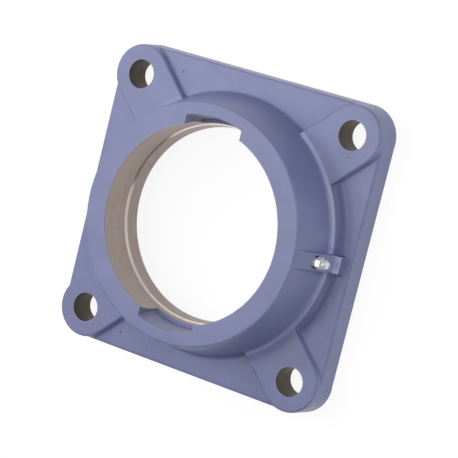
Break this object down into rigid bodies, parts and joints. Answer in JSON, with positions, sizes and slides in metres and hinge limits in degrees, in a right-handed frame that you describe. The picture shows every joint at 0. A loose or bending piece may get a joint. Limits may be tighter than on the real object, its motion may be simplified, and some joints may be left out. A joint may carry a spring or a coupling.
{
  "type": "flanged bearing housing",
  "caption": "Square flanged bearing housing with corner bolt holes, a spherical bearing seat with loading slots, and a grease nipple on its hub.",
  "frame": {"origin": "the bore's axis at the flange's back face, which is also the centre of the bolt holes", "axes": "+Z out of the hub's front along the bore's axis, +X towards the grease nipple, +Y towards one of the loading slots"},
  "size_m": [0.2, 0.2, 0.051],
  "materials": {
    "painted_iron": "satin",
    "zinc_plate": "satin",
    "ball_steel": "polished",
    "spring_steel": "satin"
  },
  "bodies": {
    "housing": {"housing": "painted_iron", "grease_nipple": "zinc_plate", "check_spring": "spring_steel"},
    "check_ball": {"check_ball": "ball_steel"}
  },
  "joints": [
    {"name": "check_ball_slide", "type": "slide", "parent": "housing", "child": "check_ball", "axis": [-1, 0, 0], "range_m": [0, 0.0008], "stiffness_N_per_m": 200, "deforming": ["check_spring"]}
  ]
}
